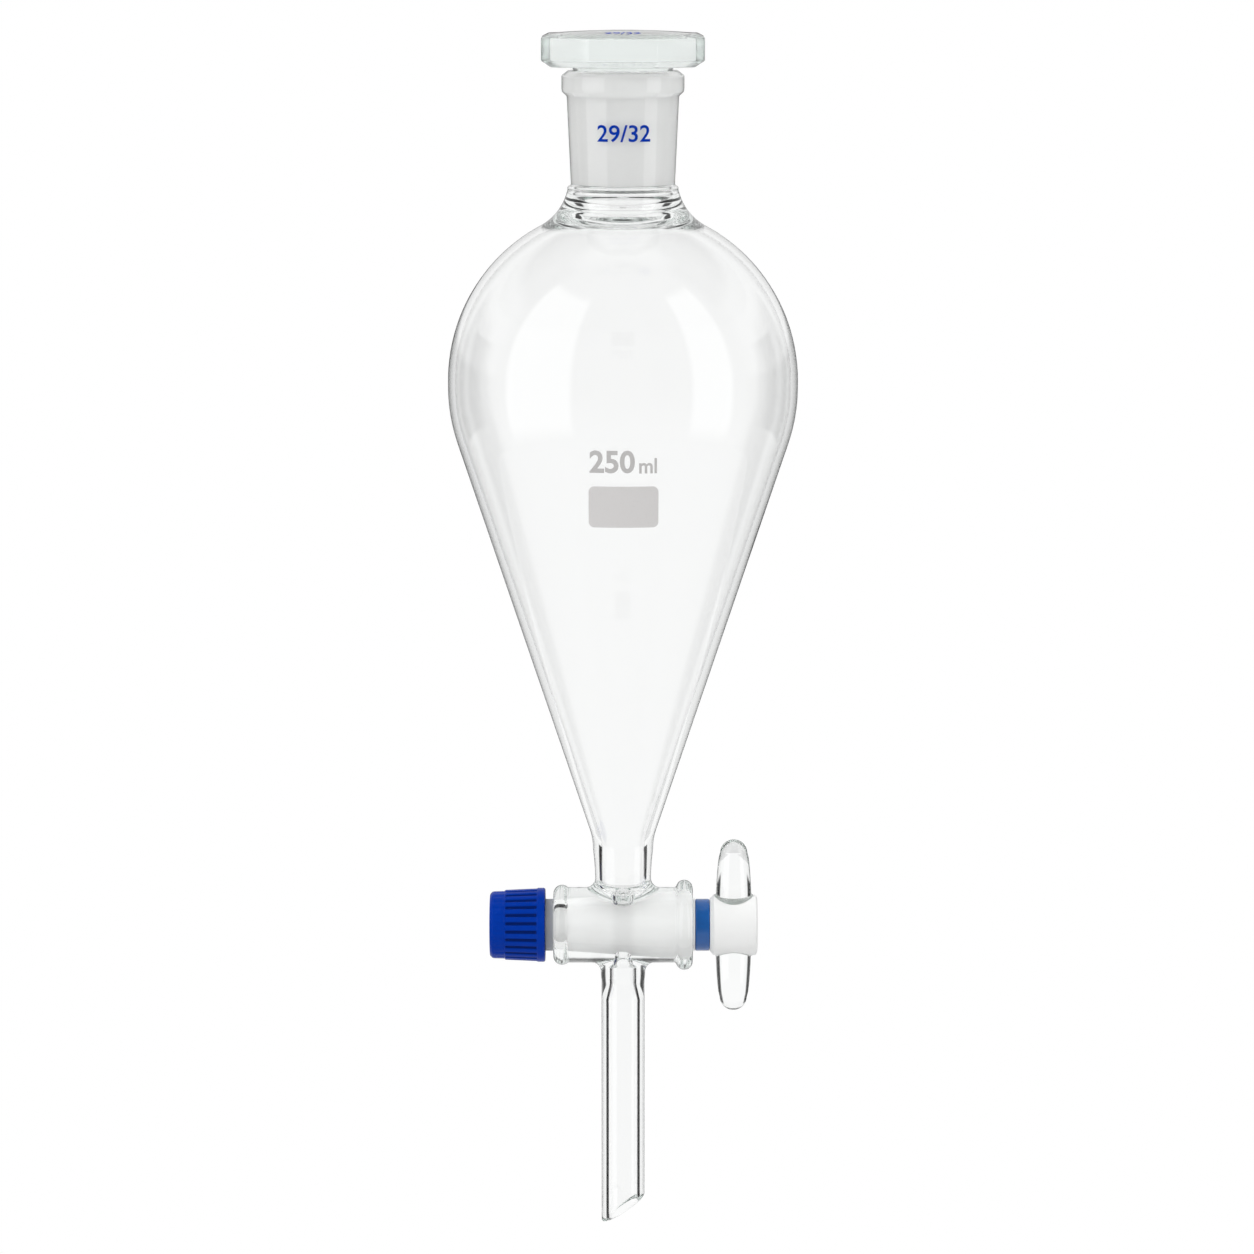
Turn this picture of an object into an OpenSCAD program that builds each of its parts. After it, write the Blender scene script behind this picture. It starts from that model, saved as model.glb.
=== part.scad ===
// Separatory funnel: a pear-shaped glass bulb with a ground socket and stopper on top,
// and a ground glass stopcock with a T handle and a screwed retaining nut below.
// +Z is up, the stopcock lies along X and its handle is at +X.
// The origin is on the funnel's axis, in the plane of the support ring that carries it.

/* [Ground socket] */
// Large diameter of the ground joint between socket and stopper
joint_d = 29.2; // [24:0.1:34]
// Length of the ground joint
joint_l = 32; // [22:1:40]
// Taper of every ground cone, as length per unit of diameter
taper = 10; // [9:0.5:20]
// Radial clearance of a ground cone in its seat
ground_gap = 0.04; // [0.01:0.01:0.08]
// Unground lead-in at each end of the socket
lead_in = 1.45; // [0.8:0.05:3]
// Wall of the socket
socket_wall = 2.3; // [1.5:0.1:3.2]
// Height of the thick rim round the mouth
rim_h = 6.9; // [4:0.1:12]
// Wall of the thick rim
rim_wall = 3.5; // [3.3:0.1:6]

/* [Stopper] */
// Width of the octagonal head across its flats
head_w = 48; // [40:1:60]
// Height of the head
head_h = 10.6; // [6:0.1:16]
// Chamfer of the head's edges, measured along the flat faces
head_chamfer = 2.9; // [1:0.1:4]
// Rise of the slightly domed top of the head
head_crown = 0.9; // [0.2:0.1:1.2]
// Gap between the rim and the head of the seated stopper
head_gap = 1.2; // [0.6:0.1:4]
// Wall of the hollow plug
plug_wall = 2.6; // [1.6:0.1:5]
// Solid glass between the hollow and the plane of the rim
plug_crown = 4; // [2:0.1:8]

/* [Bulb] */
// Outer diameter of the bulb
bulb_d = 104; // [90:1:125]
// Wall of the bulb
bulb_wall = 2; // [1.2:0.1:3]
// Height of the straight belt between the two domes
belt_h = 2; // [1:0.5:12]
// Height of the lower dome's centre above the foot of the cone
cone_h = 136.8; // [110:1:180]
// Radius of the concave shoulder between dome and neck
shoulder_r = 16.3; // [12:0.1:20]
// Outer diameter of the neck where the shoulder turns upright
neck_d = 32; // [31.4:0.1:36]
// Bore of the thick lip below the socket
lip_bore = 24; // [20:0.1:25]
// Height of the clear neck from the lip to the socket
neck_l = 7.8; // [6:0.1:12]
// Diameter of the support ring that the bulb sits in
ring_d = 80; // [60:1:85]

/* [Stem] */
// Outer diameter of the stem under the cone
stem_d = 18.1; // [17.4:0.1:21]
// Outer diameter of the stem at the barrel
stem_foot_d = 16.8; // [16:0.1:18]
// Bore of the stem
stem_bore = 12.9; // [9:0.1:13.4]
// Height of the cone's foot above the stopcock axis
stem_l = 26.7; // [22:0.1:50]
// Radius of the bend from cone to stem
stem_bend_r = 20; // [8:1:30]

/* [Stopcock barrel] */
// Outer diameter of the barrel
barrel_d = 22.8; // [20.5:0.1:23.6]
// Length of the barrel
barrel_l = 42.1; // [38:0.1:56]
// Large diameter of the key's ground seat
seat_d = 14.5; // [13.5:0.1:15]
// Diameter of the ports from stem and outlet to the seat
port_d = 5; // [4.2:0.1:6]
// Outer diameter of the bead at the nut end
bead_d = 24.2; // [24:0.1:28]
// Width of the bead at the nut end
bead_w = 5.2; // [3:0.1:6]
// Outer diameter of the flange at the handle end
flange_d = 27.2; // [24.4:0.1:32]
// Width of the flange at the handle end
flange_w = 5; // [3:0.1:6]
// Radius of the fused fillets between barrel and tubes
fillet_r = 3.1; // [1.5:0.1:3.6]

/* [Outlet tube] */
// Outer diameter of the outlet tube
outlet_d = 13; // [11.4:0.1:15]
// Bore of the outlet tube
outlet_bore = 8.9; // [6.8:0.1:9.6]
// Narrow bore just under the barrel
throat_d = 6.4; // [5:0.1:6.7]
// Length of the outlet from the stopcock axis to its tip
outlet_l = 92.8; // [60:1:160]
// Slope of the oblique tip
tip_angle = 33; // [0:1:50]

/* [Stopcock key] */
// Diameter of the cross bore through the key
key_bore = 4; // [2:0.1:4.2]
// Diameter of the key's head
key_head_d = 18.4; // [17:0.1:22]
// Length of the key's head
key_head_l = 14.4; // [13.4:0.1:20]
// Span of the T handle from tip to tip
handle_span = 52.6; // [40:1:70]
// Diameter of each handle arm at its root
arm_root_d = 10.7; // [8.6:0.1:11.3]
// Diameter of each handle arm at its rounded tip
arm_tip_d = 8.2; // [6:0.1:8.5]
// Radius of the fillets between handle arms and head
arm_fillet_r = 1; // [0.6:0.1:1.2]
// Diameter of the collar beside the coloured band
collar_d = 16; // [15.8:0.1:16.9]

/* [Coloured band] */
// Outer diameter of the band on the key
band_d = 15.7; // [14.6:0.1:16.9]
// Width of the band
band_w = 4.4; // [2:0.1:6]
// Thickness of the band
band_t = 1; // [0.6:0.1:2]

/* [Retaining nut, washer and seal] */
// Outer diameter of the thread on the key's end
thread_d = 9.6; // [8:0.1:9.9]
// Length of the threaded end
thread_l = 16.5; // [10:0.1:20]
// Diameter of the washer
washer_d = 15.7; // [15.2:0.1:18]
// Thickness of the washer
washer_t = 2.5; // [1:0.1:4]
// Section diameter of the seal ring under the nut
seal_t = 2.2; // [1:0.1:2.4]
// Outer diameter of the nut's flange
nut_d = 22.4; // [21.4:0.1:28]
// Thickness of the nut's closed end
nut_end_t = 2; // [1:0.1:4]
// Number of grip ribs
rib_count = 26; // [12:1:30]
// Depth of the grooves between the ribs
rib_depth = 0.5; // [0.2:0.1:0.7]
// Running clearance of the nut, the washer and the band on the key
part_gap = 0.05; // [0.02:0.01:0.1]

/* [Hidden] */
$fn = 72;

// Largest turn between two points of an arc, in degrees: small rounds, large curves and beads
small_step = 18;
large_step = 4;
bead_step = 10;

// Edge break of small parts, and how far a cut runs past the surface it opens
edge = 0.3;
over = 1;

// Radius of a ground cone at a distance below its large end
function cone_r(big_d, depth) = big_d / 2 - depth / (2 * taper);

// Points of an arc in a profile, from angle a0 to angle a1
function arc(centre, r, a0, a1, step = small_step) =
    let (n = ceil(abs(a1 - a0) / step))
        [for (i = [0:n]) let (a = a0 + (a1 - a0) * i / n) centre + r * [cos(a), sin(a)]];

// Half angle of the cone that is tangent to a dome and ends at a given radius and depth below it
function cone_angle(dome_r, foot_r, depth) =
    atan2(depth, foot_r) - acos(dome_r / norm([foot_r, depth]));

// Bulb: radii, angles and heights above the stopcock axis
bulb_r = bulb_d / 2;
bore_r = bulb_r - bulb_wall;
stem_r = stem_d / 2;
dome_z = stem_l + cone_h;
top_dome_z = dome_z + belt_h;
outer_angle = cone_angle(bulb_r, stem_r, cone_h);
inner_angle = cone_angle(bore_r, stem_bore / 2, cone_h);
bend_l = stem_bend_r * tan(outer_angle / 2);

// Height of the support ring's plane, where the cone is as wide as the ring
ring_z = dome_z - (bulb_r - ring_d / 2 * cos(outer_angle)) / sin(outer_angle);

// Shoulder: the concave arc that touches the top dome and the neck
shoulder_x = neck_d / 2 + shoulder_r;
shoulder_angle = acos(shoulder_x / (bulb_r + shoulder_r));
shoulder_z = top_dome_z + (bulb_r + shoulder_r) * sin(shoulder_angle);

// Neck and socket
lip_r = lip_bore / 2;
lip_round = 1.6;
neck_bulge = 0.8;
bulge_h = 1.5;
mouth_flare = 0.5;
lip_z = top_dome_z + sqrt(pow(bore_r, 2) - pow(lip_r + lip_round, 2)) + lip_round / 2;
socket_foot_z = lip_z + neck_l;
ground_foot_z = socket_foot_z + lead_in;
ground_top_z = ground_foot_z + joint_l;
rim_z = ground_top_z + lead_in;
rim_r = joint_d / 2 + rim_wall;
socket_foot_r = cone_r(joint_d, joint_l) + socket_wall;
socket_top_r = cone_r(joint_d, rim_h) + socket_wall;
rim_edge_w = 2;
rim_edge_h = 1.2;

// Stopcock: seat, beads and tubes
seat_x = barrel_l / 2;
barrel_r = barrel_d / 2;
floor_r = barrel_r - edge;
throat_flare = 1;
throat_l = 6.5;
throat_cone_l = 4.6;
outlet_root_r = outlet_d / 2 + 0.2;
root_l = 1.5;

// Key: places along X, from the threaded end to the head
key_foot_depth = 0.5;
key_foot_x = key_foot_depth - seat_x;
thread_end_x = -seat_x - thread_l;
collar_gap = 0.2;
collar_x = seat_x + collar_gap;
collar_w = 0.5;
band_x = collar_x + collar_w;
key_head_x = band_x + band_w + 2 * part_gap;
key_end_x = key_head_x + key_head_l;
arm_x = (key_head_x + key_end_x) / 2;
band_seat_r = band_d / 2 - band_t;

// Nut: places along X, from the washer to the closed end
washer_x = -seat_x - washer_t;
seal_x = washer_x - part_gap - seal_t / 2;
seal_r = thread_d / 2 + part_gap + seal_t / 2;
seal_seat_l = seal_t + 2 * part_gap;
seal_seat_r = seal_r + seal_t / 2 + part_gap;
nut_floor_gap = 0.7;
nut_floor_x = thread_end_x - nut_floor_gap;
nut_end_x = nut_floor_x - nut_end_t;
nut_flange_w = 1.9;
nut_end_w = 4.6;
nut_flange_r = nut_d / 2;
nut_step = 0.2;
nut_grip_r = nut_flange_r - nut_step;
nut_taper = 0.4;
nut_end_r = nut_grip_r - 2 * nut_taper;

// A solid of revolution about Z from [radius, height] points, at the part's own place
module turned_z(points) {
    rotate_extrude()
        polygon(points);
}

// A solid of revolution about X from [x, radius] points
module turned_x(points) {
    rotate([0, 90, 0])
        rotate_extrude()
            polygon([for (p = points) [p.y, p.x]]);
}

// Moves what is drawn about the stopcock axis into the part's frame
module in_frame() {
    translate([0, 0, -ring_z])
        children();
}

// The fused fillet where an upright tube of radius a stands on a lying cylinder of radius b:
// the surface that a ball of radius f leaves as it rolls round the corner between them.
// It sinks a little into both, so that it crosses their surfaces cleanly.
module saddle_fillet(a, b, f) {
    around = 48;
    rows = 6;
    sink = 0.2;
    inner = a - 3 * sink;
    function ball(t) =
        [(a + f) * cos(t), (a + f) * sin(t), sqrt(pow(b + f, 2) - pow((a + f) * sin(t), 2))];
    function to_tube(t) = [-cos(t), -sin(t), 0];
    function to_barrel(t) = let (c = ball(t)) -[0, c.y, c.z] / (b + f);
    function spread(t) = acos(to_tube(t) * to_barrel(t));
    function turn(t, k) =
        (sin(spread(t) * (1 - k)) * to_tube(t) + sin(spread(t) * k) * to_barrel(t)) / sin(spread(t));
    function root(t) =
        [inner * cos(t), inner * sin(t), sqrt(pow(b, 2) - pow(inner * sin(t), 2)) - 1];
    function ring(t) =
        concat([for (k = [0:rows]) ball(t) + (f + sink) * turn(t, k / rows)], [root(t)]);
    per_ring = rows + 2;
    points = [for (i = [0:around - 1]) each ring(i * 360 / around)];
    faces = [
        for (i = [0:around - 1], k = [0:per_ring - 1])
            let (j = (i + 1) % around, m = (k + 1) % per_ring)
                [i * per_ring + k, i * per_ring + m, j * per_ring + m, j * per_ring + k]
    ];
    polyhedron(points, faces, convexity = 6);
}

// Outside of bulb, neck and socket, from the stopcock axis up to the rim
module vessel_outside() {
    rim_foot_z = rim_z - rim_h;
    step = (rim_r - socket_top_r) / 2;
    foot_angle = 180 + asin((shoulder_z - socket_foot_z) / shoulder_r);
    foot_r = shoulder_x + shoulder_r * cos(foot_angle);
    foot_round = foot_r - socket_foot_r;
    turned_z(concat(
        [[0, 0], [stem_foot_d / 2, 0], [stem_foot_d / 2, barrel_r + fillet_r]],
        arc([stem_r + stem_bend_r, stem_l - bend_l], stem_bend_r, 180, 180 - outer_angle, large_step),
        arc([0, dome_z], bulb_r, -outer_angle, 0, large_step),
        arc([0, top_dome_z], bulb_r, 0, shoulder_angle, large_step),
        arc([shoulder_x, shoulder_z], shoulder_r, 180 + shoulder_angle, foot_angle, 2 * large_step),
        arc([socket_foot_r, socket_foot_z], foot_round, small_step, 90),
        [[socket_top_r, rim_foot_z - step], [rim_r, rim_foot_z + edge]],
        [[rim_r, rim_z - rim_edge_h], [rim_r - rim_edge_w, rim_z], [0, rim_z]]
    ));
}

// Inside of stem, bulb, neck and socket, with the ground cone at the mouth
module vessel_inside() {
    ground_foot_r = cone_r(joint_d, joint_l);
    bulge_r = ground_foot_r + neck_bulge;
    bulge_z = (lip_z + socket_foot_z) / 2;
    lip_angle = acos((lip_r + lip_round) / bore_r);
    lip_turn = 60;
    turned_z(concat(
        [[0, 0], [stem_bore / 2, 0], [stem_bore / 2, stem_l]],
        arc([0, dome_z], bore_r, -inner_angle, 0, large_step),
        arc([0, top_dome_z], bore_r, 0, lip_angle, large_step),
        arc([lip_r + lip_round, lip_z + lip_round / 2], lip_round, 180 + lip_turn, 180),
        [[lip_r, lip_z + lip_round], [bulge_r, bulge_z], [bulge_r, bulge_z + bulge_h]],
        [[ground_foot_r, socket_foot_z], [ground_foot_r, ground_foot_z]],
        [[joint_d / 2, ground_top_z], [joint_d / 2 + mouth_flare, rim_z], [joint_d / 2, rim_z + over]],
        [[0, rim_z + over]]
    ));
}

// Barrel of the stopcock with its bead and its flange
module barrel_outside() {
    bead = bead_w / 2;
    flange = flange_w / 2;
    bead_rise = bead_d / 2 - bead;
    flange_rise = flange_d / 2 - flange;
    bead_foot = asin(min(1, (barrel_r - bead_rise) / bead));
    flange_foot = 180 - asin(max(0, min(1, (barrel_r - flange_rise) / flange)));
    turned_x(concat(
        [[-seat_x, 0]],
        arc([bead - seat_x, bead_rise], bead, 180, bead_foot, bead_step),
        arc([seat_x - flange, flange_rise], flange, flange_foot, 0, bead_step),
        [[seat_x, 0]]
    ));
}

// Outlet tube, a little wider where it is fused on, with its oblique tip
module outlet_outside() {
    cut = 4 * outlet_d;
    difference() {
        turned_z([
            [0, 0],
            [outlet_root_r, 0],
            [outlet_root_r, -barrel_r - fillet_r],
            [outlet_d / 2, -barrel_r - fillet_r - root_l],
            [outlet_d / 2, -outlet_l],
            [0, -outlet_l]
        ]);
        translate([-outlet_d / 2, 0, -outlet_l])
            rotate([0, -tip_angle, 0])
                translate([-cut / 2, -cut / 2, -cut])
                    cube(cut);
    }
}

// Bore of the outlet tube, with the narrow throat under the barrel
module outlet_inside() {
    bore_z = -barrel_r - throat_l - throat_cone_l;
    turned_z([
        [0, -barrel_r],
        [port_d / 2, -barrel_r],
        [throat_d / 2, -barrel_r - throat_flare],
        [throat_d / 2, -barrel_r - throat_l],
        [outlet_bore / 2, bore_z],
        [outlet_bore / 2, -outlet_l - over],
        [0, -outlet_l - over]
    ]);
}

// One fused and blown piece of glass: socket, bulb, stem, stopcock barrel and outlet
module glass_body() {
    color([0.86, 0.91, 0.92, 0.45])
        in_frame()
            difference() {
                union() {
                    vessel_outside();
                    barrel_outside();
                    outlet_outside();
                    saddle_fillet(stem_foot_d / 2, barrel_r, fillet_r);
                    mirror([0, 0, 1])
                        saddle_fillet(outlet_root_r, barrel_r, fillet_r);
                }
                difference() {
                    vessel_inside();
                    rotate([0, 90, 0])
                        cylinder(r = floor_r, h = barrel_l, center = true);
                }
                outlet_inside();
                cylinder(d = port_d, h = 2 * (barrel_r + over), center = true);
                translate([-seat_x - over, 0, 0])
                    rotate([0, 90, 0])
                        cylinder(
                            r1 = cone_r(seat_d, barrel_l + over),
                            r2 = cone_r(seat_d, -over),
                            h = barrel_l + 2 * over
                        );
            }
}

// One bar of the head's section, as wide as the head across two opposite flats
module head_bar() {
    slope = 0.65;
    chamfer_h = head_chamfer * slope;
    half = head_w / 2;
    rotate([90, 0, 0])
        translate([0, 0, -head_w])
            linear_extrude(2 * head_w)
                polygon([
                    [-half + head_chamfer, 0],
                    [half - head_chamfer, 0],
                    [half, chamfer_h],
                    [half, head_h - chamfer_h],
                    [half - head_chamfer, head_h],
                    [-half + head_chamfer, head_h],
                    [-half, head_h - chamfer_h],
                    [-half, chamfer_h]
                ]);
}

// The round body that domes the head's top, a little wider than the octagon
module head_dome() {
    reach = 0.6 * head_w;
    crown_r = (pow(head_w / 2, 2) + pow(head_crown, 2)) / (2 * head_crown);
    crown_turn = asin(reach / crown_r);
    rows = 6;
    turned_z(concat(
        [[0, -over], [reach, -over]],
        arc([0, head_h - crown_r], crown_r, 90 - crown_turn, 90, crown_turn / rows)
    ));
}

// Glass stopper: a hollow ground plug under an octagonal head
module stopper() {
    head_z = rim_z + head_gap;
    plug_foot_z = ground_foot_z - lead_in / 3;
    plug_foot_r = cone_r(joint_d, ground_top_z - plug_foot_z) - ground_gap;
    plug_top_r = cone_r(joint_d, ground_top_z - rim_z) - ground_gap;
    hollow_foot_r = plug_foot_r - plug_wall;
    hollow_top_z = rim_z - plug_crown;
    foot_round = 0.8;
    foot_flare = 0.4;
    color([0.84, 0.88, 0.9, 0.6])
        in_frame()
            difference() {
                union() {
                    translate([0, 0, head_z])
                        intersection() {
                            head_bar();
                            rotate([0, 0, 45])
                                head_bar();
                            rotate([0, 0, 90])
                                head_bar();
                            rotate([0, 0, 135])
                                head_bar();
                            head_dome();
                        }
                    turned_z(concat(
                        [[0, plug_foot_z]],
                        arc([plug_foot_r - foot_round, plug_foot_z + foot_round], foot_round, -90, 0),
                        [[plug_top_r, rim_z], [plug_top_r + head_gap / 2, head_z + over], [0, head_z + over]]
                    ));
                }
                turned_z(concat(
                    [[0, plug_foot_z - over], [hollow_foot_r + 2 * foot_flare, plug_foot_z - over]],
                    [[hollow_foot_r, plug_foot_z + over]],
                    arc([0, hollow_top_z - hollow_foot_r], hollow_foot_r, 0, 90)
                ));
            }
}

// Glass key of the stopcock: threaded end, ground cone with its cross bore, collar, head and T handle
module stopcock_key() {
    key_foot_r = cone_r(seat_d, seat_x - key_foot_x) - ground_gap;
    key_top_r = cone_r(seat_d, seat_x - collar_x) - ground_gap;
    head_r = key_head_d / 2;
    head_edge = 1.2;
    head_neck_l = 2;
    arm_tip = arm_tip_d / 2;
    arm_tip_end = 75;
    arm_root_z = head_r - edge;
    arm_end_z = handle_span / 2;
    thread_edge = 0.8;
    color([0.93, 0.94, 0.94])
        in_frame()
            difference() {
                union() {
                    turned_x([
                        [thread_end_x, 0],
                        [thread_end_x, thread_d / 2 - thread_edge],
                        [thread_end_x + thread_edge, thread_d / 2],
                        [key_foot_x, thread_d / 2],
                        [key_foot_x, key_foot_r],
                        [collar_x, key_top_r],
                        [collar_x, collar_d / 2 - edge],
                        [collar_x + edge, collar_d / 2],
                        [band_x, collar_d / 2],
                        [band_x, band_seat_r],
                        [key_head_x, band_seat_r],
                        [key_head_x, collar_d / 2],
                        [key_head_x + head_neck_l, head_r],
                        [key_end_x - head_edge, head_r],
                        [key_end_x - edge, head_r - head_edge / 2],
                        [key_end_x, head_r - 2 * head_edge],
                        [key_end_x, 0]
                    ]);
                    translate([arm_x, 0, 0])
                        turned_z(concat(
                            [[0, -arm_end_z]],
                            arc([0, arm_tip - arm_end_z], arm_tip, -arm_tip_end, 0),
                            [[arm_root_d / 2, -arm_root_z], [arm_root_d / 2, arm_root_z]],
                            arc([0, arm_end_z - arm_tip], arm_tip, 0, arm_tip_end),
                            [[0, arm_end_z]]
                        ));
                    for (side = [0, 1])
                        translate([arm_x, 0, 0])
                            mirror([0, 0, side])
                                saddle_fillet(arm_root_d / 2, head_r, arm_fillet_r);
                }
                cylinder(d = key_bore, h = 2 * seat_d, center = true);
            }
}

// Coloured band in the groove between collar and head
module key_band() {
    inner = band_seat_r + part_gap / 2;
    round = min(edge, (band_d / 2 - inner) / 2);
    start = band_x + part_gap;
    end = start + band_w;
    color([0, 0.32, 0.6])
        in_frame()
            turned_x([
                [start, inner],
                [start, band_d / 2 - round],
                [start + round, band_d / 2],
                [end - round, band_d / 2],
                [end, band_d / 2 - round],
                [end, inner]
            ]);
}

// Slip washer between the barrel's face and the nut
module ptfe_washer() {
    color([0.85, 0.86, 0.88])
        in_frame()
            turned_x([
                [washer_x, thread_d / 2 + part_gap],
                [washer_x, washer_d / 2 - edge],
                [washer_x + edge, washer_d / 2],
                [-seat_x - edge, washer_d / 2],
                [-seat_x, washer_d / 2 - edge],
                [-seat_x, thread_d / 2 + part_gap]
            ]);
}

// Rubber seal ring between washer and nut
module o_ring() {
    color([0.1, 0.1, 0.1])
        in_frame()
            translate([seal_x, 0, 0])
                rotate([0, 90, 0])
                    rotate_extrude()
                        translate([seal_r, 0])
                            circle(d = seal_t);
}

// Ribbed nut that screws on the key's end and holds the key in its seat
module retaining_nut() {
    groove_r = 0.75;
    groove_facets = 24;
    end_round = 1.2;
    grip_end_x = nut_end_x + nut_end_w;
    flange_x = washer_x - nut_flange_w;
    groove_l = flange_x - grip_end_x - edge;
    groove_tilt = atan2(nut_taper, flange_x - grip_end_x);
    groove_z = nut_grip_r - nut_taper + groove_r - rib_depth;
    color([0, 0.17, 0.66])
        in_frame()
            difference() {
                turned_x(concat(
                    [[nut_end_x, 0]],
                    arc([nut_end_x + end_round, nut_end_r - end_round - nut_step], end_round, 180, 90),
                    [[grip_end_x, nut_end_r], [grip_end_x + nut_taper, nut_grip_r - nut_taper]],
                    [[flange_x - nut_taper, nut_grip_r], [flange_x, nut_flange_r]],
                    [[washer_x - edge, nut_flange_r], [washer_x, nut_flange_r - edge], [washer_x, 0]]
                ));
                translate([nut_floor_x, 0, 0])
                    rotate([0, 90, 0])
                        cylinder(r = thread_d / 2 + part_gap, h = -nut_floor_x);
                translate([washer_x - seal_seat_l, 0, 0])
                    rotate([0, 90, 0])
                        cylinder(r = seal_seat_r, h = seal_seat_l + over);
                for (i = [0:rib_count - 1])
                    rotate([i * 360 / rib_count, 0, 0])
                        translate([grip_end_x - edge, 0, groove_z])
                            rotate([0, 90 - groove_tilt, 0])
                                cylinder(r = groove_r, h = groove_l, $fn = groove_facets);
            }
}

glass_body();
stopper();
stopcock_key();
key_band();
ptfe_washer();
o_ring();
retaining_nut();
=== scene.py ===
import math
import bpy
import bmesh
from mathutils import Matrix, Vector


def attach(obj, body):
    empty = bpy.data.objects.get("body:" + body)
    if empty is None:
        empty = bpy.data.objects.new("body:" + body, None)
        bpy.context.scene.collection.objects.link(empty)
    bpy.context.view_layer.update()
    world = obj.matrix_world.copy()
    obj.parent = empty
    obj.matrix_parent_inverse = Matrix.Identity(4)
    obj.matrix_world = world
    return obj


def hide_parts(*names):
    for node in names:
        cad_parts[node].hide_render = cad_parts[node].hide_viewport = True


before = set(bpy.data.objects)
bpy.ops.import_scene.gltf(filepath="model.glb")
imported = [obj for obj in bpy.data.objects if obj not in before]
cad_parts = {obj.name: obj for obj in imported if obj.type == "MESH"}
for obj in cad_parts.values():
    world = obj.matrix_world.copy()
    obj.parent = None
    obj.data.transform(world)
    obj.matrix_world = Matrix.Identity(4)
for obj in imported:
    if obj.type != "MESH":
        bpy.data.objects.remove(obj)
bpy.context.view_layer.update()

# The object's lengths are in mm and its heights are above the stopcock's axis
mm = 0.001
axisZ = -119.1746
around = 144  # steps of every large turn, so that fillets and tubes meet point to point


def place(x, y, z):
    return Vector((x * mm, y * mm, (z + axisZ) * mm))


def arc(cx, cy, r, a0, a1, n):
    turns = [math.radians(a0 + (a1 - a0) * i / n) for i in range(n + 1)]
    return [(cx + r * math.cos(a), cy + r * math.sin(a)) for a in turns]


# A line with its corners rounded: each point is (a, b) or (a, b, radius)
def rounded(points, n=5):
    out = []
    for i, p in enumerate(points):
        here = Vector(p[:2])
        r = p[2] if len(p) > 2 else 0
        if not r or i in (0, len(points) - 1):
            out.append(tuple(here))
            continue
        back = Vector(points[i - 1][:2]) - here
        on = Vector(points[i + 1][:2]) - here
        half = back.angle(on) / 2
        reach = min(r / math.tan(half), 0.49 * back.length, 0.49 * on.length)
        r = reach * math.tan(half)
        middle = (back.normalized() + on.normalized()).normalized()
        centre = here + middle * (r / math.sin(half))
        start = here + back.normalized() * reach - centre
        end = here + on.normalized() * reach - centre
        turn = start.angle_signed(end)
        for k in range(n + 1):
            a = -turn * k / n
            c, s = math.cos(a), math.sin(a)
            out.append((centre.x + c * start.x - s * start.y, centre.y + s * start.x + c * start.y))
    return out


# Extra points on the long straight runs of a profile
def spaced(points, step=3.0):
    out = [points[0]]
    for p, q in zip(points, points[1:]):
        n = max(1, int(math.dist(p, q) // step))
        out += [(p[0] + (q[0] - p[0]) * k / n, p[1] + (q[1] - p[1]) * k / n)
                for k in range(1, n + 1)]
    return out


# Turns a profile about Z from (radius, z), or about X from (x, radius)
def turned(bm, profile, about="z", steps=around, mat=0, x=0):
    lathe = bmesh.new()
    verts = [lathe.verts.new(place(p[0] + x, 0, p[1])) for p in profile]
    edges = [lathe.edges.new(pair) for pair in zip(verts, verts[1:])]
    axis = (0, 0, 1) if about == "z" else (1, 0, 0)
    bmesh.ops.spin(lathe, geom=verts + edges, cent=place(x, 0, 0), axis=axis, angle=2 * math.pi,
                   steps=steps, use_merge=True)
    for f in lathe.faces:
        f.material_index = mat
    mesh = bpy.data.meshes.new("turned")
    lathe.to_mesh(mesh)
    lathe.free()
    bm.from_mesh(mesh)
    bpy.data.meshes.remove(mesh)


# Weaves closed loops of points into a sheet of quads
def woven(bm, loops, mat=0):
    rows = [[bm.verts.new(place(*p)) for p in loop] for loop in loops]
    for a, b in zip(rows, rows[1:]):
        for i in range(len(a)):
            j = (i + 1) % len(a)
            bm.faces.new((a[i], a[j], b[j], b[i])).material_index = mat


def angles(n=around):
    return [2 * math.pi * i / n for i in range(n)]


def circle(r, x=0):
    return [(x + r * math.cos(t), r * math.sin(t)) for t in angles()]


def between(u, v, k):
    gap = u.angle(v)
    return (u * math.sin(gap * (1 - k)) + v * math.sin(gap * k)) / math.sin(gap)


# Fillet left by a ball of radius f between an upright tube a and a lying cylinder b.
# way is 1 outside the tube and -1 inside it
def saddle(a, b, f, side=1, way=1, rows=8, x=0):
    loops = []
    for k in range(rows + 1):
        loop = []
        for t in angles():
            d = a + way * f
            rise = math.sqrt((b + f) ** 2 - (d * math.sin(t)) ** 2)
            c = Vector((d * math.cos(t), d * math.sin(t), rise))
            tube = Vector((-math.cos(t), -math.sin(t), 0)) * way
            floor = Vector((0, -c.y, -c.z)) / (b + f)
            p = c + f * between(tube, floor, k / rows)
            loop.append((p.x + x, p.y, p.z * side))
        loops.append(loop)
    return loops


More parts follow.
